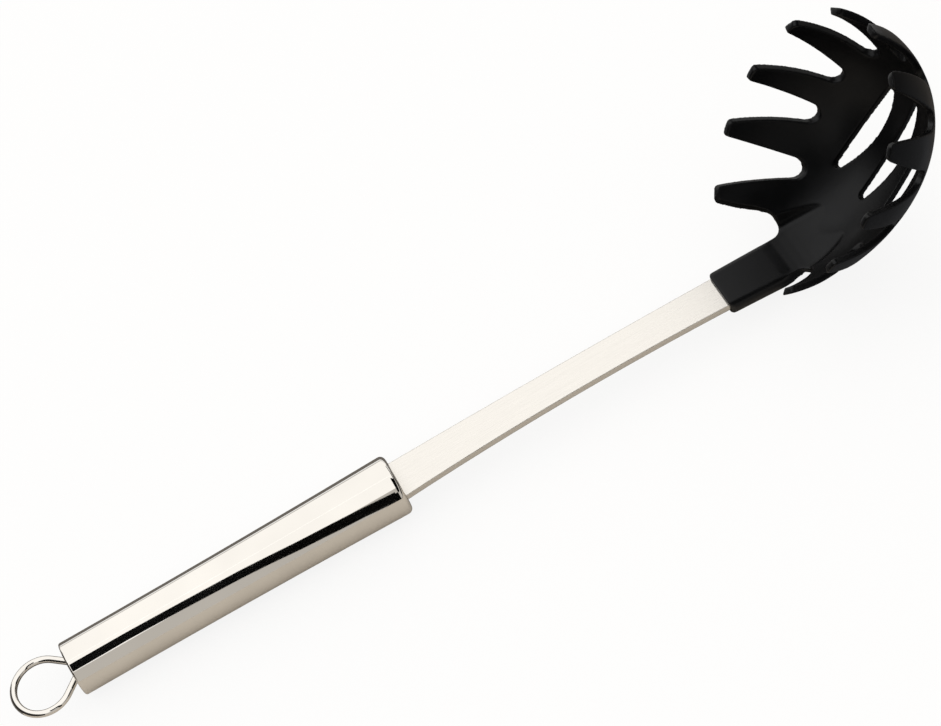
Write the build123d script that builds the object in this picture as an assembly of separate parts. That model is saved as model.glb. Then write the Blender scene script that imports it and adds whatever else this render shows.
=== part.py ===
from build123d import *
import os
from math import acos, atan2, cos, hypot, radians, sin, sqrt, tan

# Pasta server: hollow steel handle, bowed steel shank and a moulded nylon head with eleven fingers.
# Millimetres. The origin is the centre of the hanging loop. +X runs along the handle to the head,
# +Z is the side the bowl opens to, and the object is symmetric about the plane y = 0.

# hanging loop: one wire, bent round, with both legs set into the rear cap
LOOP_BEND_RADIUS = 9.4       # to the middle of the wire
LOOP_WIRE = 2.3
LOOP_LEG_SPREAD = 7.0        # between the legs where they enter the cap
LOOP_LEG_SET = 2.7           # how deep a leg stands in the cap
LOOP_TO_TUBE = 11.8          # loop centre to the rear end of the tube

# handle tube, a slightly trumpet-shaped steel tube
HANDLE_LENGTH = 112.0
HANDLE_REAR_RADIUS = 9.05
HANDLE_WAIST_RADIUS = 9.22   # halfway along
HANDLE_FRONT_RADIUS = 10.05
HANDLE_WALL = 0.8

# end caps: plugs with a rounded rim and a slightly crowned face, welded into the tube
REAR_DOME = 1.5
REAR_EDGE_RADIUS = 0.7
FRONT_DOME = 2.9
FRONT_EDGE_RADIUS = 1.8
CAP_CROWN = 0.2              # the face's middle ahead of its rim
CAP_SPIGOT = 4.0             # how far a cap reaches into the tube
CAP_FIT = 0.05               # between spigot and tube

# shank: one strip of steel, waisted in plan and bowed upwards along its whole length
SHANK_THICKNESS = 2.5
SHANK_SHOWING = 116.5        # between front cap and head
SHANK_TAIL = 24.0            # inside the handle
SHANK_TANG = 16.0            # inside the head
SHANK_REAR_WIDTH = 13.8      # at the front cap
SHANK_WAIST_WIDTH = 11.6
SHANK_FRONT_WIDTH = 12.0     # at the head
SHANK_BOW_RADIUS = 1130.0
SHANK_CROWN_AHEAD = 73.0     # the bow's highest point, ahead of the tube's front end
SHANK_CROWN_RISE = 2.82      # and above the handle's axis
SHANK_FIT = 0.05             # between the strip and its slot in the front cap
TANG_KEY_RADIUS = 2.5        # hole in the tang that the moulding runs through

# neck: the block of the moulding around the tang
NECK_THICKNESS = 5.8
NECK_REAR_WIDTH = 15.8
NECK_FRONT_WIDTH = 16.7
NECK_LENGTH = 19.0           # from its rear face to where the throat of the bowl starts
NECK_EDGE_RADIUS = 2.4
NECK_NOSE_LENGTH = 14.0      # the block's run-out under the throat, ahead of NECK_LENGTH
NECK_NOSE_RISE = 1.3         # its end above the shank's line
NECK_NOSE_TAPER = 1.2        # and narrower on each side

# bowl: an ellipsoid shell below the plane of the fingertips, longer behind its middle than ahead of it,
# measured to the middle of the wall
BOWL_FRONT_RADIUS = 46.8
BOWL_REAR_RADIUS = 50.2
BOWL_WIDTH_RADIUS = 34.8
BOWL_DEPTH_RADIUS = 47.8
BOWL_CENTRE_ABOVE = 8.1      # the ellipsoid's centre above the plane of the fingertips
BOWL_TILT = 50.4             # of that plane from the handle's axis, in degrees
BOWL_AHEAD = 38.2            # middle of that plane ahead of the neck's rear face
BOWL_FOOT = 2.57             # lowest point of the bowl's wall above the shank's line in the neck
WALL = 2.2

# throat: the flat-bottomed way from the neck into the bowl, as sections across it, each with its place
# ahead of the neck's rear face, its floor above the shank's line in the neck, and half its floor's width
THROAT = (
    (2.0, 2.6, 9.0),
    (NECK_LENGTH, 2.6, 9.4),
    (29.0, 2.8, 9.8),
    (41.0, 5.6, 7.6),
    (53.0, 12.2, 5.0),
)
THROAT_SLOPE = 64.0          # of its side walls, in degrees
THROAT_CORNER = 3.0
THROAT_HEIGHT = 12.0         # of those walls

# fingers, as angles round the bowl from its front, and the rounded roots of the gaps between them
FINGER_ANGLES = (0.0, 28.0, 58.0, 87.7, 111.8, 139.2)
ROOT_ANGLES = (13.5, 40.8, 73.0, 100.6, 132.3)
FINGER_TIP_WIDTH = 5.2
FINGER_TIP_CORNER = 1.6
ROOT_DEPTH = 25.8            # below the plane of the fingertips
ROOT_RADIUS = 3.4

# the gap on each side of the neck, in plan, from the neck's rear face and the middle plane
NECK_GAP_ROOT_AHEAD = 23.6   # middle of its round root
NECK_GAP_ROOT_ASIDE = 11.5
NECK_GAP_RADIUS = 3.9
REAR_FINGER_ROOT = (23.6, 16.3)
REAR_FINGER_TIP = (-18.0, 35.6)

# drain slots in the floor: a lens in the middle and one on each side of it
MIDDLE_SLOT_LENGTH = 47.0
MIDDLE_SLOT_WIDTH = 5.8
MIDDLE_SLOT_AHEAD = -1.0     # of the bowl's middle
SIDE_SLOT_LENGTH = 41.5
SIDE_SLOT_WIDTH = 5.8
SIDE_SLOT_AHEAD = -1.2
SIDE_SLOT_ASIDE = 11.5
SIDE_SLOT_FAN = 4.0          # how far it spreads towards the neck, in degrees
SLOT_TIP_RADIUS = 1.2

tube_rear = LOOP_TO_TUBE
tube_front = tube_rear + HANDLE_LENGTH
cap_nose = tube_front + FRONT_DOME
neck_face = cap_nose + SHANK_SHOWING
crown_x = tube_front + SHANK_CROWN_AHEAD


def shank_line(x):
    """Height of the middle of the bowed strip at x."""
    return SHANK_CROWN_RISE - SHANK_BOW_RADIUS + sqrt(SHANK_BOW_RADIUS**2 - (x - crown_x) ** 2)


neck_line = shank_line(neck_face + NECK_LENGTH)
tilt_cos, tilt_sin = cos(radians(BOWL_TILT)), sin(radians(BOWL_TILT))
bowl_drop = hypot(BOWL_REAR_RADIUS * tilt_sin, BOWL_DEPTH_RADIUS * tilt_cos)
bowl_rise = BOWL_FOOT + bowl_drop - BOWL_CENTRE_ABOVE * tilt_cos
tips_plane = Plane(
    origin=(neck_face + BOWL_AHEAD, 0, neck_line + bowl_rise),
    x_dir=(tilt_cos, 0, tilt_sin),
    z_dir=(-tilt_sin, 0, tilt_cos),
)


def handle_radius(x):
    """Outside radius of the tube at x, on the arc through its rear, waist and front radii."""
    return handle_side(0).position_at((x - tube_rear) / HANDLE_LENGTH).Y


def handle_side(inset):
    """The tube's side in profile, moved towards the axis by inset."""
    rear = (tube_rear, HANDLE_REAR_RADIUS - inset)
    waist = ((tube_rear + tube_front) / 2, HANDLE_WAIST_RADIUS - inset)
    front = (tube_front, HANDLE_FRONT_RADIUS - inset)
    return ThreePointArc(rear, waist, front)


def make_handle_tube():
    outside = handle_side(0)
    inside = handle_side(HANDLE_WALL)
    ends = [Line(outside @ 0, inside @ 0), Line(outside @ 1, inside @ 1)]
    return revolve(make_face([outside, inside] + ends), Axis.X)


def make_cap(end_x, outward, radius, dome, edge_radius):
    """A plug at a tube end: a crowned face with a rounded rim, and a spigot inside the tube."""
    nose = end_x + outward * dome
    rim = nose - outward * CAP_CROWN
    foot = end_x - outward * CAP_SPIGOT
    seat = min(radius, handle_radius(foot)) - HANDLE_WALL - CAP_FIT
    profile = make_face(Polyline(
        (nose, 0), (foot, 0), (foot, seat), (end_x, seat), (end_x, radius), (rim, radius), close=True,
    ))
    corner = profile.vertices().sort_by_distance((rim, radius))[0]
    return revolve(fillet(corner, edge_radius), Axis.X)


def strip(spare):
    """The bowed strip, grown all round by spare."""
    start = tube_front - SHANK_TAIL - spare
    stop = neck_face + SHANK_TANG + spare
    half = SHANK_THICKNESS / 2 + spare
    top = [(x, shank_line(x) + half) for x in (start, crown_x, stop)]
    low = [(x, shank_line(x) - half) for x in (start, crown_x, stop)]
    side = make_face([
        ThreePointArc(*top), Line(top[2], low[2]), ThreePointArc(*low), Line(low[0], top[0]),
    ])
    band = extrude(Plane.XZ * side, SHANK_REAR_WIDTH, both=True)
    waist_x = (tube_front + neck_face) / 2
    rear, waist, front = (w / 2 + spare for w in (SHANK_REAR_WIDTH, SHANK_WAIST_WIDTH, SHANK_FRONT_WIDTH))
    edges = [Line((start, -rear), (start, rear)), Line((stop, front), (stop, -front))]
    for way in (1, -1):
        edges.append(Line((start, way * rear), (tube_front, way * rear)))
        bend = (tube_front, way * rear), (waist_x, way * waist), (neck_face, way * front)
        edges.append(ThreePointArc(*bend))
        edges.append(Line((neck_face, way * front), (stop, way * front)))
    plan = extrude(make_face(edges), SHANK_SHOWING, both=True)
    return band & plan


def make_shank():
    key_x = neck_face + SHANK_TANG / 2
    return strip(0) - Pos(key_x, 0, shank_line(key_x)) * Cylinder(TANG_KEY_RADIUS, 2 * SHANK_THICKNESS)


def loop_leg(way):
    """Where a leg leaves the round bend, and the point where it ends in the cap."""
    entry = (tube_rear - REAR_DOME, LOOP_LEG_SPREAD / 2)
    reach = hypot(*entry)
    turn = atan2(entry[1], entry[0]) + acos(LOOP_BEND_RADIUS / reach)
    start = (LOOP_BEND_RADIUS * cos(turn), LOOP_BEND_RADIUS * sin(turn))
    along = (sin(turn), -cos(turn))
    run = sqrt(reach**2 - LOOP_BEND_RADIUS**2) + LOOP_LEG_SET
    end = (start[0] + run * along[0], start[1] + run * along[1])
    return (start[0], way * start[1]), (end[0], way * end[1])


def make_hanging_loop():
    (far_start, far_end), (near_start, near_end) = loop_leg(1), loop_leg(-1)
    bend = ThreePointArc(far_start, (-LOOP_BEND_RADIUS, 0), near_start)
    path = Wire([Line(far_end, far_start), bend, Line(near_start, near_end)])
    return sweep(Plane(origin=path @ 0, z_dir=path % 0) * Circle(LOOP_WIRE / 2), path)


parts = {
    "handle_tube": make_handle_tube(),
    "shank": make_shank(),
    "hanging_loop": make_hanging_loop(),
}
rear_plug = make_cap(tube_rear, -1, HANDLE_REAR_RADIUS, REAR_DOME, REAR_EDGE_RADIUS)
front_plug = make_cap(tube_front, 1, HANDLE_FRONT_RADIUS, FRONT_DOME, FRONT_EDGE_RADIUS)
parts["rear_cap"] = rear_plug - parts["hanging_loop"]
parts["front_cap"] = front_plug - strip(SHANK_FIT)


def bowl_body(grow):
    """The bowl's ellipsoid in the frame of the fingertips' plane, with its radii grown."""
    front, rear = BOWL_FRONT_RADIUS + grow, BOWL_REAR_RADIUS + grow
    width, depth = BOWL_WIDTH_RADIUS + grow, BOWL_DEPTH_RADIUS + grow
    egg = make_face([
        EllipticalCenterArc((0, 0), front, width),
        EllipticalCenterArc((0, 0), rear, width, 90),
        Line((-rear, 0), (front, 0)),
    ])
    return Pos(0, 0, BOWL_CENTRE_ABOVE) * scale(revolve(egg, Axis.X), by=(1, 1, depth / width))


def length_radius(angle):
    """The bowl's lengthwise radius on the side of its middle that an angle points to."""
    return BOWL_FRONT_RADIUS if cos(radians(angle)) > 0 else BOWL_REAR_RADIUS


def throat_body(grow, sections):
    """The space above the throat's floor, lofted through its sections and grown all round."""
    slope = radians(THROAT_SLOPE)
    lean = THROAT_HEIGHT / tan(slope)
    shift = grow / sin(slope) - grow / tan(slope)
    faces = []
    for ahead, floor, half in sections:
        foot = half + shift
        top = foot + lean
        outline = Polyline((-foot, 0), (foot, 0), (top, THROAT_HEIGHT), (-top, THROAT_HEIGHT), close=True)
        face = make_face(outline)
        face = fillet(face.vertices().sort_by(Axis.Y)[:2], THROAT_CORNER + grow)
        low = (neck_face + ahead, 0, neck_line + floor - grow)
        faces.append(Plane(origin=low, x_dir=(0, 1, 0), z_dir=(1, 0, 0)) * face.face())
    return loft(faces)


def rim_point(angle, depth):
    """A point of the middle of the bowl's wall, at an angle and a depth below the fingertips."""
    share = sqrt(1 - ((depth + BOWL_CENTRE_ABOVE) / BOWL_DEPTH_RADIUS) ** 2)
    turn = radians(angle)
    return Vector(length_radius(angle) * share * cos(turn), BOWL_WIDTH_RADIUS * share * sin(turn), 0)


def tip_corner(angle, way):
    """One corner of a fingertip: half the tip's width along the rim from its middle."""
    turn = radians(angle)
    along = Vector(-length_radius(angle) * sin(turn), BOWL_WIDTH_RADIUS * cos(turn), 0).normalized()
    return rim_point(angle, 0) + along * (way * FINGER_TIP_WIDTH / 2)


def gap_cutter(low_angle, high_angle, root_angle):
    """A tapered gap between two fingers, with a round root, cut outwards from inside the bowl."""
    mouth = (tip_corner(low_angle, 1), tip_corner(high_angle, -1))
    across = (mouth[1] - mouth[0]).normalized()
    outward = Vector(across.Y, -across.X, 0)
    root = rim_point(root_angle, ROOT_DEPTH)
    start = root.dot(outward) - 4 * WALL
    section = Plane(origin=outward * start, x_dir=across, z_dir=outward)
    low, high = (corner.dot(across) for corner in mouth)
    middle = (root.dot(across), ROOT_RADIUS - ROOT_DEPTH)
    ends = [Edge.make_line((low, 0, 0), (high, 0, 0))]
    outline = make_hull(ends + Circle(ROOT_RADIUS).moved(Location(middle)).edges())
    outline += Pos((low + high) / 2, WALL) * Rectangle(high - low + 4 * FINGER_TIP_CORNER, 2 * WALL)
    level = outline.vertices().filter_by(lambda v: abs(v.Y) < WALL / 100)
    corners = level.filter_by(lambda v: low - WALL / 100 < v.X < high + WALL / 100)
    return extrude(section * fillet(corners, FINGER_TIP_CORNER), BOWL_REAR_RADIUS)


def slot_cutter(aside, ahead, length, width, turn):
    """A lens-shaped slot with rounded tips, cut down through the bowl's floor."""
    sides = [ThreePointArc((-length / 2, 0), (0, way * width / 2), (length / 2, 0)) for way in (1, -1)]
    lens = make_face(sides)
    lens = Pos(ahead, aside) * Rot(0, 0, turn) * fillet(lens.vertices(), SLOT_TIP_RADIUS)
    return extrude(Pos(0, 0, -BOWL_DEPTH_RADIUS) * lens, BOWL_DEPTH_RADIUS * 0.6)


def neck_gap_cutter(way):
    """The gap between the neck and the rearmost finger, cut from below up through the bowl."""
    side = (NECK_REAR_WIDTH - WALL) / 2
    back, edge_y = REAR_FINGER_TIP
    root = Circle(NECK_GAP_RADIUS).moved(Location((NECK_GAP_ROOT_AHEAD, NECK_GAP_ROOT_ASIDE)))
    rear = Edge.make_line((back, side, 0), (back, edge_y, 0))
    finger = Edge.make_line((*REAR_FINGER_ROOT, 0), (back, edge_y, 0))
    outline = make_hull([rear, finger] + root.edges())
    if way < 0:
        outline = mirror(outline, Plane.XZ)
    return extrude(Pos(neck_face, 0, neck_line - bowl_rise) * outline, 3 * bowl_rise)


def neck_block():
    """The neck's block around the tang, rounded along its edges, with a nose that ends under the throat."""
    half = NECK_THICKNESS / 2
    front = neck_face + NECK_LENGTH
    tip = front + NECK_NOSE_LENGTH
    stations = (neck_face, (neck_face + tip) / 2, tip)
    upper = ThreePointArc(*[(x, shank_line(x) + half) for x in stations])
    lower = ThreePointArc(*[(x, shank_line(x) - half) for x in stations])
    side = make_face([upper, Line(upper @ 1, lower @ 1), lower, Line(lower @ 0, upper @ 0)])
    rear, wide = NECK_REAR_WIDTH / 2, NECK_FRONT_WIDTH / 2
    thin = wide - NECK_NOSE_TAPER
    plan = make_face(Polyline(
        (neck_face, -rear), (front, -wide), (tip, -thin),
        (tip, thin), (front, wide), (neck_face, rear), close=True,
    ))
    bar = extrude(Plane.XZ * side, NECK_FRONT_WIDTH, both=True) & extrude(plan, bowl_rise, both=True)
    along = bar.edges().filter_by(lambda e: abs((e @ 0.5).Y) > thin and e.length > NECK_THICKNESS)
    bar = fillet(along, NECK_EDGE_RADIUS) - parts["shank"]
    behind, high, low = neck_face - half, neck_line + NECK_THICKNESS, neck_line - NECK_THICKNESS
    wedge = make_face(Polyline(
        (behind, low), (front, neck_line - half), (tip, neck_line + NECK_NOSE_RISE),
        (front, neck_line + half), (behind, high), close=True,
    ))
    return bar & extrude(Plane.XZ * wedge, NECK_FRONT_WIDTH, both=True)


def neck_root(way):
    """The round root of the gap beside the neck."""
    place = Pos(neck_face + NECK_GAP_ROOT_AHEAD, way * NECK_GAP_ROOT_ASIDE, neck_line)
    return place * Cylinder(NECK_GAP_RADIUS, 2 * bowl_rise)


def rear_corner(shell, way):
    """The edge across the wall at the rear corner of the rearmost fingertip, which no gap cutter rounds."""
    found = []
    for edge in shell.edges().filter_by(lambda e: e.length < 2 * WALL and way * (e @ 0.5).Y > 0):
        ends = [tips_plane.to_local_coords(edge @ share) for share in (0, 1)]
        if all(abs(end.Z) < WALL / 10 for end in ends):
            found.append((ends[0].X + ends[1].X, edge))
    return min(found, key=lambda row: row[0])[1]


def make_head():
    place = tips_plane.location
    reach = 4 * BOWL_REAR_RADIUS
    below = place * Pos(0, 0, -BOWL_DEPTH_RADIUS) * Box(reach, reach, 2 * BOWL_DEPTH_RADIUS)
    outside = place * bowl_body(WALL / 2) + throat_body(WALL, THROAT[1:])
    shell = (outside & below) - place * bowl_body(-WALL / 2) - throat_body(0, THROAT)
    shell -= place * slot_cutter(0, MIDDLE_SLOT_AHEAD, MIDDLE_SLOT_LENGTH, MIDDLE_SLOT_WIDTH, 0)
    for way in (1, -1):
        aside, turn = way * SIDE_SLOT_ASIDE, -way * SIDE_SLOT_FAN
        shell -= place * slot_cutter(aside, SIDE_SLOT_AHEAD, SIDE_SLOT_LENGTH, SIDE_SLOT_WIDTH, turn)
        shell -= neck_gap_cutter(way)
        for low, high, root in zip(FINGER_ANGLES, FINGER_ANGLES[1:], ROOT_ANGLES):
            shell -= place * gap_cutter(*sorted((way * low, way * high)), way * root)
    shell = fillet([rear_corner(shell, 1), rear_corner(shell, -1)], FINGER_TIP_CORNER)
    return shell + (neck_block() - neck_root(1) - neck_root(-1))


parts["head"] = make_head()

os.makedirs("parts", exist_ok=True)
for name, solid in parts.items():
    export_step(solid, f"parts/{name}.step")
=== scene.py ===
"""A pasta server on a pale studio floor: finishes for its steel and nylon, the lamps and the camera."""

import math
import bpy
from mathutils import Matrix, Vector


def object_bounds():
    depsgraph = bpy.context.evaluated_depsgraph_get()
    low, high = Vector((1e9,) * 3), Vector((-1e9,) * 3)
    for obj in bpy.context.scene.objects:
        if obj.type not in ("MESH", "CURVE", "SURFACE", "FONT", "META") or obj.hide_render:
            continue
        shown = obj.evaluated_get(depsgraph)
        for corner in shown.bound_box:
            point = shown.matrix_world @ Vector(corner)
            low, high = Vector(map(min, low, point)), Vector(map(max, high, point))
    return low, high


bl_info = {
    "name": "Pasta Server",
    "version": (1, 0, 0),
    "blender": (4, 5, 0),
    "location": "3D View > Sidebar > Pasta Server",
    "description": "Finishes the pieces of a pasta server and sets up the studio around it",
    "category": "Object",
}

import bpy
from bpy.props import FloatProperty, FloatVectorProperty, IntProperty, PointerProperty
from mathutils import Matrix, Vector

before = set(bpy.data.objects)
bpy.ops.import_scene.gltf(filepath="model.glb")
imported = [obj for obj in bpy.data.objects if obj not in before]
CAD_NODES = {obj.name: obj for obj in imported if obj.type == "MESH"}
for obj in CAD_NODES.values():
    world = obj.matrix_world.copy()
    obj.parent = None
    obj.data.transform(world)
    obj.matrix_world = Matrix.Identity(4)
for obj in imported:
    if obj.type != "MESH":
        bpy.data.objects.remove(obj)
CAD_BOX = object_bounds()

MM = 0.001


def from_hex(code):
    """An sRGB hex colour as linear red, green and blue."""
    values = [int(code[place : place + 2], 16) / 255 for place in (1, 3, 5)]
    return tuple(v / 12.92 if v <= 0.04045 else ((v + 0.055) / 1.055) ** 2.4 for v in values)


# ---------------------------------------------------------------- materials

# How large the marks are that a finish has beside its grain.
HAZE_PATCH = 18 * MM
FLOW_PATCH = 14 * MM
PAPER_FIBRE = 1.5 * MM
STRIP_EDGE = 0.5 * MM

# The nylon's sheen is a little cooler than the light that falls on it.
COOL_SHEEN = (0.92, 0.95, 1.0, 1.0)
WHITE = (1.0, 1.0, 1.0, 1.0)

# The middle part of a noise's range, from which tints are mapped.
TINT_FROM_MIN = (0.3, 0.3, 0.3)
TINT_FROM_MAX = (0.7, 0.7, 0.7)


def add_node(tree, kind, settings=None, links=None):
    """Adds a node, sets its options and its inputs' values, and links its inputs to other outputs."""
    node = tree.nodes.new(kind)
    for name, value in (settings or {}).items():
        if isinstance(name, str) and hasattr(node, name):
            setattr(node, name, value)
        else:
            node.inputs[name].default_value = value
    for name, socket in (links or {}).items():
        tree.links.new(socket, node.inputs[name])
    return node


def new_material(name):
    """An empty node material and its node tree."""
    material = bpy.data.materials.new(name)
    material.use_nodes = True
    material.node_tree.nodes.clear()
    return material, material.node_tree


def wear(material, *names):
    """Gives the material to CAD nodes, in every slot that they have."""
    for name in names:
        for slot in CAD_NODES[name].material_slots:
            slot.material = material


def shades(colour, low, high):
    """Settings that map a noise onto the colour, from its low share up to its high share."""
    return {
        "data_type": "FLOAT_VECTOR",
        7: TINT_FROM_MIN,
        8: TINT_FROM_MAX,
        9: tuple(c * low for c in colour),
        10: tuple(min(1.0, c * high) for c in colour),
    }


def polished_steel(name, colour, roughness, grain, stretch):
    """Stainless steel buffed to a mirror: it shows the studio sharply, and only the faint haze left by the
    buffing wheel, in streaks across the drawing direction, softens that picture here and there."""
    material, tree = new_material(name)
    place = add_node(tree, "ShaderNodeTexCoord")
    along = add_node(
        tree, "ShaderNodeMapping", {"Scale": stretch}, {"Vector": place.outputs["Object"]}
    )
    # The wheel's own lines are about 0.05 mm apart; they are drawn eight times coarser, to show at all.
    lines = add_node(
        tree,
        "ShaderNodeTexNoise",
        {"Scale": 1 / (grain * MM), "Detail": 3.0, "Roughness": 0.6},
        {"Vector": along.outputs[0]},
    )
    # Hand marks and haze lie in patches.
    haze = add_node(
        tree,
        "ShaderNodeTexNoise",
        {"Scale": 1 / HAZE_PATCH, "Detail": 2.0},
        {"Vector": place.outputs["Object"]},
    )
    both = add_node(
        tree,
        "ShaderNodeMath",
        {"operation": "MULTIPLY"},
        {0: lines.outputs["Fac"], 1: haze.outputs["Fac"]},
    )
    rough = add_node(
        tree,
        "ShaderNodeMapRange",
        {"From Min": 0.12, "From Max": 0.42, "To Min": roughness * 0.6, "To Max": roughness * 1.5},
        {"Value": both.outputs[0]},
    )
    tint = add_node(
        tree, "ShaderNodeMapRange", shades(colour, 0.97, 1.02), {6: haze.outputs["Fac"]}
    )
    relief = add_node(
        tree,
        "ShaderNodeBump",
        {"Strength": 0.04, "Distance": 0.02 * MM},
        {"Height": lines.outputs["Fac"]},
    )
    shader = add_node(
        tree,
        "ShaderNodeBsdfPrincipled",
        {"Metallic": 1.0},
        {
            "Base Color": tint.outputs["Vector"],
            "Roughness": rough.outputs[0],
            "Normal": relief.outputs[0],
        },
    )
    add_node(tree, "ShaderNodeOutputMaterial", None, {"Surface": shader.outputs[0]})
    return material


def satin_steel(name, colour, roughness, grain):
    """Stainless strip brushed along its length: bright and even from above, with a soft lengthwise grain
    that smears what it reflects."""
    material, tree = new_material(name)
    place = add_node(tree, "ShaderNodeTexCoord")
    # The belt's scratches are about 0.08 mm apart and run on for 20 mm; they are drawn four times coarser.
    along = add_node(
        tree, "ShaderNodeMapping", {"Scale": (0.02, 1.0, 1.0)}, {"Vector": place.outputs["Object"]}
    )
    lines = add_node(
        tree,
        "ShaderNodeTexNoise",
        {"Scale": 1 / (grain * MM), "Detail": 4.0, "Roughness": 0.7},
        {"Vector": along.outputs[0]},
    )
    rough = add_node(
        tree,
        "ShaderNodeMapRange",
        {"From Min": 0.3, "From Max": 0.7, "To Min": roughness * 0.8, "To Max": roughness * 1.25},
        {"Value": lines.outputs["Fac"]},
    )
    tint = add_node(
        tree, "ShaderNodeMapRange", shades(colour, 0.94, 1.03), {6: lines.outputs["Fac"]}
    )
    # The strip's edges are slightly broken, which draws a thin grey line along them.
    edge = add_node(tree, "ShaderNodeBevel", {"samples": 6, "Radius": STRIP_EDGE})
    relief = add_node(
        tree,
        "ShaderNodeBump",
        {"Strength": 0.08, "Distance": 0.03 * MM},
        {"Height": lines.outputs["Fac"], "Normal": edge.outputs[0]},
    )
    shader = add_node(
        tree,
        "ShaderNodeBsdfPrincipled",
        {"Metallic": 1.0},
        {
            "Base Color": tint.outputs["Vector"],
            "Roughness": rough.outputs[0],
            "Normal": relief.outputs[0],
        },
    )
    add_node(tree, "ShaderNodeOutputMaterial", None, {"Surface": shader.outputs[0]})
    return material


def moulded_nylon(name, colour, roughness, gloss, grain):
    """Black glass-filled nylon 66, injection moulded in a finely eroded tool: deep black with a soft grey
    sheen, and a fine leathery grain that breaks the sheen up."""
    material, tree = new_material(name)
    place = add_node(tree, "ShaderNodeTexCoord")
    # The eroded tool's grain is about 0.1 mm; it is drawn four times coarser.
    skin = add_node(
        tree,
        "ShaderNodeTexNoise",
        {"Scale": 1 / (grain * MM), "Detail": 3.0, "Roughness": 0.55},
        {"Vector": place.outputs["Object"]},
    )
    # Where the melt slowed down and where the part has been rubbed, the sheen changes.
    flow = add_node(
        tree,
        "ShaderNodeTexNoise",
        {"Scale": 1 / FLOW_PATCH, "Detail": 2.0, "Distortion": 0.6},
        {"Vector": place.outputs["Object"]},
    )
    rough = add_node(
        tree,
        "ShaderNodeMapRange",
        {"From Min": 0.3, "From Max": 0.7, "To Min": roughness * 0.85, "To Max": roughness * 1.15},
        {"Value": flow.outputs["Fac"]},
    )
    tint = add_node(
        tree, "ShaderNodeMapRange", shades(colour, 0.8, 1.25), {6: flow.outputs["Fac"]}
    )
    relief = add_node(
        tree,
        "ShaderNodeBump",
        {"Strength": 0.12, "Distance": 0.05 * MM},
        {"Height": skin.outputs["Fac"]},
    )
    shader = add_node(
        tree,
        "ShaderNodeBsdfPrincipled",
        {"IOR": 1.53, "Specular IOR Level": gloss, "Specular Tint": COOL_SHEEN},
        {
            "Base Color": tint.outputs["Vector"],
            "Roughness": rough.outputs[0],
            "Normal": relief.outputs[0],
        },
    )
    add_node(tree, "ShaderNodeOutputMaterial", None, {"Surface": shader.outputs[0]})
    return material


def matt_paper(name, colour, white_share=0.0):
    """Unglazed studio paper: even, matt and without any picture of the lamps in it, its fibres just
    visible close to. Its white share reads as plain white, so that only a soft part of a shadow shows."""
    material, tree = new_material(name)
    place = add_node(tree, "ShaderNodeTexCoord")
    fibre = add_node(
        tree,
        "ShaderNodeTexNoise",
        {"Scale": 1 / PAPER_FIBRE, "Detail": 2.0},
        {"Vector": place.outputs["Object"]},
    )
    relief = add_node(
        tree,
        "ShaderNodeBump",
        {"Strength": 0.03, "Distance": 0.1 * MM},
        {"Height": fibre.outputs["Fac"]},
    )
    sheet = add_node(
        tree,
        "ShaderNodeBsdfPrincipled",
        {"Base Color": (*colour, 1.0), "Roughness": 0.95, "Specular IOR Level": 0.1},
        {"Normal": relief.outputs[0]},
    )
    white = add_node(tree, "ShaderNodeEmission", {"Color": WHITE, "Strength": 1.0})
    path = add_node(tree, "ShaderNodeLightPath")
    seen = path.outputs["Is Camera Ray"]
    for way in ("Is Glossy Ray", "Is Transmission Ray"):
        seen = add_node(
            tree, "ShaderNodeMath", {"operation": "MAXIMUM"}, {0: seen, 1: path.outputs[way]}
        ).outputs[0]
    share = add_node(
        tree, "ShaderNodeMath", {"operation": "MULTIPLY", 1: white_share}, {0: seen}
    )
    surface = add_node(
        tree,
        "ShaderNodeMixShader",
        None,
        {0: share.outputs[0], 1: sheet.outputs[0], 2: white.outputs[0]},
    )
    add_node(tree, "ShaderNodeOutputMaterial", None, {"Surface": surface.outputs[0]})
    return material


# ---------------------------------------------------------------- sizes and colours


class PastaHandleSettings(bpy.types.PropertyGroup):
    colour: FloatVectorProperty(
        name="Colour",
        description="Colour of the polished steel",
        subtype="COLOR",
        default=from_hex("#EEECE8"),
        min=0,
        max=1,
    )
    roughness: FloatProperty(
        name="Roughness",
        description="How far the polish falls short of a mirror",
        subtype="FACTOR",
        default=0.04,
        min=0,
        max=1,
    )
    grain: FloatProperty(
        name="Grain (mm)",
        description="Spacing of the polishing lines",
        default=0.4,
        min=0.05,
        max=5,
    )


class PastaShankSettings(bpy.types.PropertyGroup):
    colour: FloatVectorProperty(
        name="Colour",
        description="Colour of the brushed strip",
        subtype="COLOR",
        default=from_hex("#EDEBE7"),
        min=0,
        max=1,
    )
    roughness: FloatProperty(
        name="Roughness",
        description="How softly the strip reflects",
        subtype="FACTOR",
        default=0.24,
        min=0,
        max=1,
    )
    grain: FloatProperty(
        name="Grain (mm)",
        description="Spacing of the brushed lines",
        default=0.32,
        min=0.05,
        max=5,
    )


class PastaHeadSettings(bpy.types.PropertyGroup):
    colour: FloatVectorProperty(
        name="Colour",
        description="Colour of the nylon",
        subtype="COLOR",
        default=from_hex("#050506"),
        min=0,
        max=1,
    )
    roughness: FloatProperty(
        name="Roughness",
        description="How matt the moulding is",
        subtype="FACTOR",
        default=0.36,
        min=0,
        max=1,
    )
    gloss: FloatProperty(
        name="Gloss",
        description="How strongly the skin reflects",
        subtype="FACTOR",
        default=0.27,
        min=0,
        max=1,
    )
    grain: FloatProperty(
        name="Grain (mm)", description="Size of the moulded grain", default=0.4, min=0.05, max=5
    )
    cell: FloatProperty(
        name="Edge cell",
        description="Cell size that the moulding is relaid with",
        unit="LENGTH",
        default=0.3 * MM,
        min=0.1 * MM,
        max=2 * MM,
    )
    relax: IntProperty(
        name="Edge rounding",
        description="How often the relaid edges are eased",
        default=9,
        min=0,
        max=30,
    )


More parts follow.
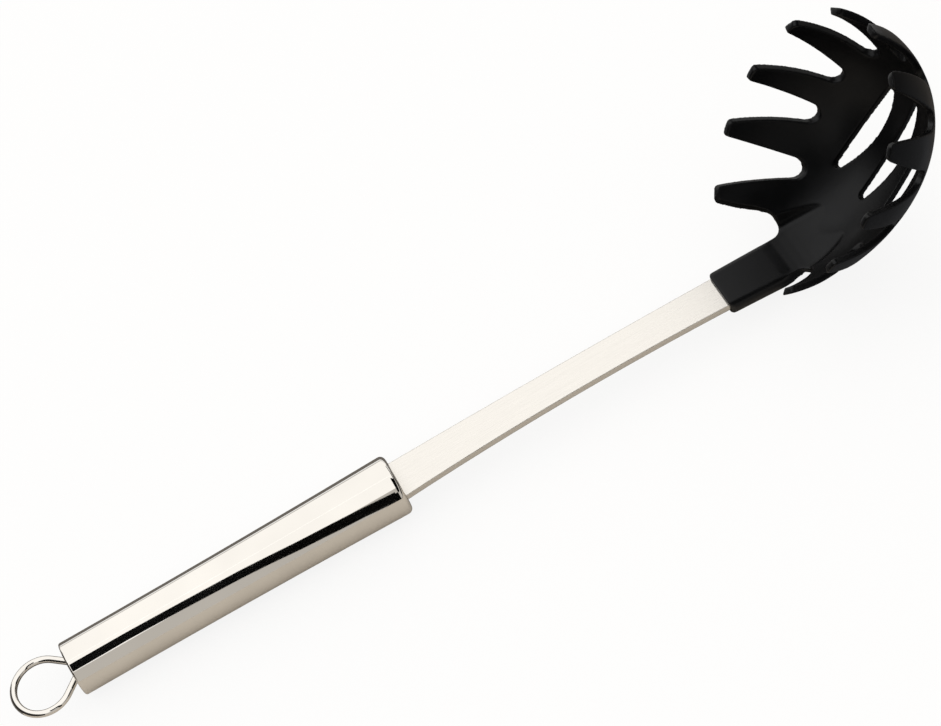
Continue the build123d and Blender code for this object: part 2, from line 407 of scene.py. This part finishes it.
class PastaStudioSettings(bpy.types.PropertyGroup):
    floor_colour: FloatVectorProperty(
        name="Floor",
        description="Colour of the floor",
        subtype="COLOR",
        default=from_hex("#FBFBFA"),
        min=0,
        max=1,
    )
    floor_white: FloatProperty(
        name="Floor white",
        description="Share of the floor that reads as white",
        subtype="FACTOR",
        default=0.85,
        min=0,
        max=1,
    )
    # The front card's colour is painted shade: the grey of the white floor in the object's shade, shown
    # only in reflections.
    front_shade_card_colour: FloatVectorProperty(
        name="Front card",
        description="Colour of the card in front",
        subtype="COLOR",
        default=from_hex("#C6BFB5"),
        min=0,
        max=1,
    )
    # The rear card's colour is a painted shadow: the handle's own shadow on the floor behind and under it,
    # shown only in reflections.
    rear_shadow_card_colour: FloatVectorProperty(
        name="Rear card",
        description="Colour of the card behind",
        subtype="COLOR",
        default=from_hex("#6E6A66"),
        min=0,
        max=1,
    )
    room_colour: FloatVectorProperty(
        name="Room",
        description="Colour of the room's light",
        subtype="COLOR",
        default=from_hex("#C2BDB6"),
        min=0,
        max=1,
    )
    room_strength: FloatProperty(
        name="Room light",
        description="Strength of the room's own light",
        default=1.0,
        min=0,
        max=5,
    )
    lamp_level: FloatProperty(
        name="Softboxes",
        description="Level of the softboxes, where 1 is white",
        default=1.03,
        min=0,
        max=10,
    )
    lens: FloatProperty(
        name="Lens (mm)",
        description="Focal length of the camera",
        default=122.97,
        min=10,
        max=500,
    )


# ---------------------------------------------------------------- pieces


class PASTA_OT_handle(bpy.types.Operator):
    """Polish the handle's tube and its two ends"""

    bl_idname = "pasta.handle"
    bl_label = "Handle"

    def execute(self, context):
        made = context.scene.pasta_handle
        around = (1.0, 0.06, 0.06)
        steel = polished_steel(
            "Polished_stainless_steel", made.colour, made.roughness, made.grain, around
        )
        wear(steel, "handle_tube", "front_cap", "rear_cap")
        return {"FINISHED"}


class PASTA_OT_hanging_loop(bpy.types.Operator):
    """Polish the wire of the hanging loop"""

    bl_idname = "pasta.hanging_loop"
    bl_label = "Hanging loop"

    def execute(self, context):
        made = context.scene.pasta_handle
        along_bend = (0.3, 0.3, 1.0)
        duller = made.roughness * 1.3
        wire = polished_steel("Polished_drawn_wire", made.colour, duller, made.grain, along_bend)
        wear(wire, "hanging_loop")
        return {"FINISHED"}


class PASTA_OT_shank(bpy.types.Operator):
    """Brush the shank's strip"""

    bl_idname = "pasta.shank"
    bl_label = "Shank"

    def execute(self, context):
        made = context.scene.pasta_shank
        strip = satin_steel("Brushed_stainless_strip", made.colour, made.roughness, made.grain)
        wear(strip, "shank")
        return {"FINISHED"}


class PASTA_OT_head(bpy.types.Operator):
    """Ease the edges of the moulded head and give it its nylon skin"""

    bl_idname = "pasta.head"
    bl_label = "Head"

    def execute(self, context):
        made = context.scene.pasta_head
        head = CAD_NODES["head"]
        nylon = moulded_nylon(
            "Moulded_black_nylon", made.colour, made.roughness, made.gloss, made.grain
        )
        wear(nylon, "head")
        relay = head.modifiers.new("Relay", "REMESH")
        relay.mode = "VOXEL"
        relay.voxel_size = made.cell
        relay.use_smooth_shade = True
        ease = head.modifiers.new("Ease edges", "SMOOTH")
        ease.factor = 0.5
        ease.iterations = made.relax
        return {"FINISHED"}


# ---------------------------------------------------------------- studio

CAMERA_PLACE = Vector((97.626, -556.016, 832.020)) * MM
CAMERA_RIGHT = Vector((0.86644653, -0.43960605, -0.23667895))
CAMERA_UP = Vector((0.49478314, 0.69263828, 0.52482554))
SENSOR_WIDTH = 36
NEAR_CLIP = 0.01
FAR_CLIP = 30

# Power per square metre at which a softbox's face reads as white.
WHITE_LAMP = 1.84

# Name, place behind the object and above the floor, width, height, and lean to the object in degrees.
SOFTBOXES = (
    ("Rear_softbox", 0.85, 0.93, 4.0, 2.16, -45.0),
    ("Ceiling_softbox", -0.73, 1.53, 4.0, 1.64, 0.0),
)

FLOOR_HALF = 4.0

# The low cards lie just above the floor. They meet under the handle, and the front ones under the neck.
CARD_LIFT = 0.4 * MM
CARD_LEFT = -1.5
CARD_RIGHT = 1.8
CARD_FRONT = -2.5
CARD_SEAM = -0.004
CARD_REAR = 0.14
NECK_SEAM = 0.262

# The end cards stand across the object's axis, beyond the loop and beyond the head.
END_HALF_WIDTH = 0.5
LOOP_END = -0.3
LOOP_END_TOP = 0.45
HEAD_END = 0.6
HEAD_END_TOP = 0.12

# The flag hangs between the camera and the ceiling. Its two long edges, in mm along X and down the flag,
# are cut so that the handle shows it as one black stripe that slants from the loop to the shank.
FLAG_DISTANCE = 400 * MM
FLAG_ANGLE = 50.0
FLAG_TOP = (
    (-90, -330), (-25, -312), (-4, -313), (23, -262), (50, -203), (63, -151),
    (76, -94), (86, -68), (95, -43), (105, -14), (117, 34), (190, 230),
)
FLAG_BOTTOM = (
    (-90, -60), (-16, -49), (3, -60), (28, -28), (52, 25), (64, 72),
    (76, 144), (86, 185), (94, 222), (104, 253), (117, 340), (190, 560),
)

# The head's flag keeps the ceiling out of the bowl and the rear softbox off the neck, so that only the
# floor of the bowl has a sheen.
HEAD_FLAG_HEIGHT = 0.16
HEAD_FLAG = (
    (0.135, -0.3), (0.4, -0.3), (0.4, 0.25), (0.296, 0.25), (0.296, -0.018), (0.135, -0.018),
)


def place_camera(scene, lens):
    """The camera stands above the near side of the handle and looks down the photograph's line of sight."""
    camera = bpy.data.objects.new("Camera", bpy.data.cameras.new("Camera"))
    scene.collection.objects.link(camera)
    back = CAMERA_RIGHT.cross(CAMERA_UP)
    turn = Matrix((CAMERA_RIGHT, CAMERA_UP, back)).transposed()
    camera.matrix_world = Matrix.Translation(CAMERA_PLACE) @ turn.to_4x4()
    camera.data.sensor_width = SENSOR_WIDTH
    camera.data.lens = lens
    camera.data.clip_start = NEAR_CLIP
    camera.data.clip_end = FAR_CLIP
    scene.camera = camera


def flat_sheet(name, corners, material):
    """A flat sheet that belongs to the studio."""
    mesh = bpy.data.meshes.new(name)
    mesh.from_pydata([Vector(corner) for corner in corners], [], [tuple(range(len(corners)))])
    mesh.materials.append(material)
    sheet = bpy.data.objects.new(name, mesh)
    bpy.context.scene.collection.objects.link(sheet)
    return sheet


def soft_lamp(scene, name, place, lean, width, height, level):
    """A rectangular softbox that faces down, leaning by an angle about X. At a level of 1 its face reads
    as white in a mirror."""
    lamp = bpy.data.lights.new(name, "AREA")
    lamp.shape = "RECTANGLE"
    lamp.size = width
    lamp.size_y = height
    lamp.energy = level * WHITE_LAMP * width * height
    holder = bpy.data.objects.new(name, lamp)
    scene.collection.objects.link(holder)
    turn = Matrix.Rotation(math.radians(lean), 4, "X")
    holder.matrix_world = Matrix.Translation(place) @ turn


def flag_corners():
    """The flag's corners, around its outline."""
    turn = math.radians(FLAG_ANGLE)
    middle = Vector((0.0, -math.sin(turn), math.cos(turn))) * FLAG_DISTANCE
    down = Vector((0.0, -math.cos(turn), -math.sin(turn)))
    edge = FLAG_TOP + tuple(reversed(FLAG_BOTTOM))
    return [middle + Vector((x * MM, 0.0, 0.0)) + down * (along * MM) for x, along in edge]


def low_sheet(x0, x1, y0, y1, height):
    """The corners of a level sheet."""
    return [(x, y, height) for x, y in ((x0, y0), (x1, y0), (x1, y1), (x0, y1))]


def end_sheet(x, floor, top):
    """The corners of a sheet that stands on the floor across the object's axis."""
    wide = END_HALF_WIDTH
    return [(x, y, floor + z) for y, z in ((-wide, 0.0), (wide, 0.0), (wide, top), (-wide, top))]


class PASTA_OT_studio(bpy.types.Operator):
    """Lay the floor, hang the lamps and the cards and set up the camera"""

    bl_idname = "pasta.studio"
    bl_label = "Studio"

    def execute(self, context):
        made = context.scene.pasta_studio
        scene = context.scene
        floor = CAD_BOX[0].z
        middle = (CAD_BOX[0] + CAD_BOX[1]) / 2
        paper = matt_paper("White_studio_paper", made.floor_colour, made.floor_white)
        flat_sheet("Floor", low_sheet(-FLOOR_HALF, FLOOR_HALF, -FLOOR_HALF, FLOOR_HALF, floor), paper)
        # Only the steel and the nylon see the cards, in their reflections. The front, head and rear cards
        # lie on the white floor as painted shade: greyer where the floor lies in the object's shade, and
        # darkest behind the handle as its painted shadow. The flags and the end cards are dark sheets
        # around the object.
        # The warm grey card is painted shade over the floor in front of the handle and the neck, seen only
        # in reflections.
        grey = matt_paper("Warm_grey_painted_shade_card", made.front_shade_card_colour)
        # The dark card is a painted shadow of the handle on the floor just behind it, seen only in
        # reflections.
        dark = matt_paper("Dark_painted_shadow_card", made.rear_shadow_card_colour)
        # The cool grey card is painted shade over the floor in front of the head, seen only in reflections.
        cool = matt_paper("Cool_grey_painted_shade_card", from_hex("#6A6C70"))
        deep = matt_paper("Deep_grey_card", from_hex("#2B2A29"))
        black = matt_paper("Black_flag", from_hex("#050505"))
        low = floor + CARD_LIFT
        front = low_sheet(CARD_LEFT, NECK_SEAM, CARD_FRONT, CARD_SEAM, low)
        under_head = low_sheet(NECK_SEAM, CARD_RIGHT, CARD_FRONT, CARD_SEAM, low)
        rear = low_sheet(CARD_LEFT, CARD_RIGHT, CARD_SEAM, CARD_REAR, low)
        over_head = [(x, y, floor + HEAD_FLAG_HEIGHT) for x, y in HEAD_FLAG]
        cards = [
            flat_sheet("Front_painted_shade_card", front, grey),
            flat_sheet("Head_painted_shade_card", under_head, cool),
            flat_sheet("Rear_painted_shadow_card", rear, dark),
            flat_sheet("Flag", flag_corners(), black),
            flat_sheet("Head_flag", over_head, black),
            flat_sheet("Loop_end_card", end_sheet(LOOP_END, floor, LOOP_END_TOP), deep),
            flat_sheet("Head_end_card", end_sheet(HEAD_END, floor, HEAD_END_TOP), deep),
        ]
        for card in cards:
            card.visible_camera = False
            card.visible_diffuse = False
            card.visible_transmission = False
            card.visible_shadow = False
        world = bpy.data.worlds.new("Room")
        world.use_nodes = True
        world.node_tree.nodes.clear()
        room = add_node(
            world.node_tree,
            "ShaderNodeBackground",
            {"Color": (*made.room_colour, 1.0), "Strength": made.room_strength},
        )
        add_node(world.node_tree, "ShaderNodeOutputWorld", None, {"Surface": room.outputs[0]})
        scene.world = world
        for name, behind, up, width, height, lean in SOFTBOXES:
            place = Vector((middle.x, behind, floor + up))
            soft_lamp(scene, name, place, lean, width, height, made.lamp_level)
        place_camera(scene, made.lens)
        scene.view_settings.view_transform = "Standard"
        return {"FINISHED"}


# ---------------------------------------------------------------- add-on

PIECES = (PASTA_OT_handle, PASTA_OT_hanging_loop, PASTA_OT_shank, PASTA_OT_head, PASTA_OT_studio)

SETTINGS = {
    "pasta_handle": PastaHandleSettings,
    "pasta_shank": PastaShankSettings,
    "pasta_head": PastaHeadSettings,
    "pasta_studio": PastaStudioSettings,
}


class PASTA_PT_panel(bpy.types.Panel):
    """The pasta server's pieces, with their sizes and colours"""

    bl_label = "Pasta Server"
    bl_idname = "PASTA_PT_panel"
    bl_space_type = "VIEW_3D"
    bl_region_type = "UI"
    bl_category = "Pasta Server"

    def draw(self, context):
        for name in SETTINGS:
            made = getattr(context.scene, name)
            box = self.layout.box()
            for prop in made.__annotations__:
                box.prop(made, prop)
        for piece in PIECES:
            self.layout.operator(piece.bl_idname)


def register():
    for kind in (*SETTINGS.values(), *PIECES, PASTA_PT_panel):
        bpy.utils.register_class(kind)
    for name, kind in SETTINGS.items():
        setattr(bpy.types.Scene, name, PointerProperty(type=kind))


def unregister():
    for name in SETTINGS:
        delattr(bpy.types.Scene, name)
    for kind in reversed((*SETTINGS.values(), *PIECES, PASTA_PT_panel)):
        bpy.utils.unregister_class(kind)


def main():
    register()
    bpy.ops.pasta.handle()
    bpy.ops.pasta.hanging_loop()
    bpy.ops.pasta.shank()
    bpy.ops.pasta.head()
    bpy.ops.pasta.studio()


if __name__ == "__main__":
    main()
